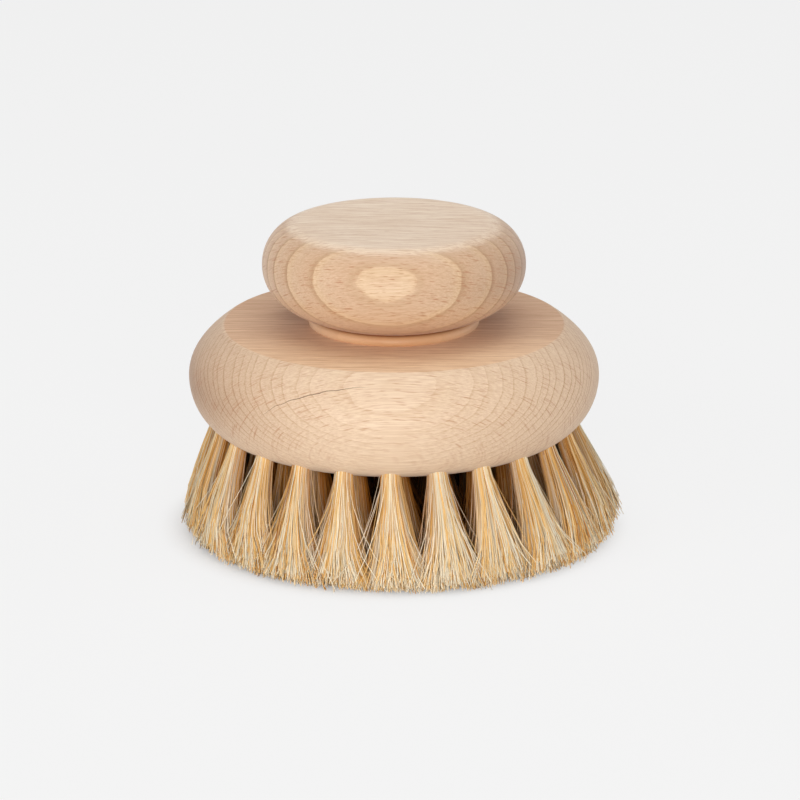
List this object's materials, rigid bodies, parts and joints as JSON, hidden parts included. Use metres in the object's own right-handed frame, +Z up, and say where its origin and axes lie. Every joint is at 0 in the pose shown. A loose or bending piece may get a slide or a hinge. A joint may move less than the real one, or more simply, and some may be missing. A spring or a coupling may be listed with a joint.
{
  "type": "body brush",
  "caption": "Round body brush: a turned beech block with a flat-topped palm knob above and tufts of blond horsehair that fan out below.",
  "frame": {"origin": "on the brush's axis at the plane of the trimmed bristle tips, which it stands on", "axes": "+Z up along the axis of the knob and block, -Y towards the front of the picture, +X to its right"},
  "size_m": [0.1114, 0.1114, 0.0804],
  "materials": {
    "beech_block": "sanded, unvarnished beech",
    "beech_knob": "sanded, unvarnished beech",
    "beech_dowel": "plain beech dowel",
    "horsehair": "blond horsehair",
    "flat_wire": "tinned flat wire"
  },
  "bodies": {
    "root": {"brush_block": "beech_block", "knob": "beech_knob", "knob_dowel": "beech_dowel", "outer_tufts": "horsehair", "second_tufts": "horsehair", "inner_tufts": "horsehair", "outer_anchor_01": "flat_wire", "outer_anchor_02": "flat_wire", "outer_anchor_03": "flat_wire", "outer_anchor_04": "flat_wire", "outer_anchor_05": "flat_wire", "outer_anchor_06": "flat_wire", "outer_anchor_07": "flat_wire", "outer_anchor_08": "flat_wire", "outer_anchor_09": "flat_wire", "outer_anchor_10": "flat_wire", "outer_anchor_11": "flat_wire", "outer_anchor_12": "flat_wire", "outer_anchor_13": "flat_wire", "outer_anchor_14": "flat_wire", "outer_anchor_15": "flat_wire", "outer_anchor_16": "flat_wire", "outer_anchor_17": "flat_wire", "outer_anchor_18": "flat_wire", "outer_anchor_19": "flat_wire", "outer_anchor_20": "flat_wire", "outer_anchor_21": "flat_wire", "outer_anchor_22": "flat_wire", "outer_anchor_23": "flat_wire", "outer_anchor_24": "flat_wire", "second_anchor_01": "flat_wire", "second_anchor_02": "flat_wire", "second_anchor_03": "flat_wire", "second_anchor_04": "flat_wire", "second_anchor_05": "flat_wire", "second_anchor_06": "flat_wire", "second_anchor_07": "flat_wire", "second_anchor_08": "flat_wire", "second_anchor_09": "flat_wire", "second_anchor_10": "flat_wire", "second_anchor_11": "flat_wire", "second_anchor_12": "flat_wire", "second_anchor_13": "flat_wire", "second_anchor_14": "flat_wire", "second_anchor_15": "flat_wire", "second_anchor_16": "flat_wire", "second_anchor_17": "flat_wire", "second_anchor_18": "flat_wire", "second_anchor_19": "flat_wire", "second_anchor_20": "flat_wire"}
  },
  "joints": []
}
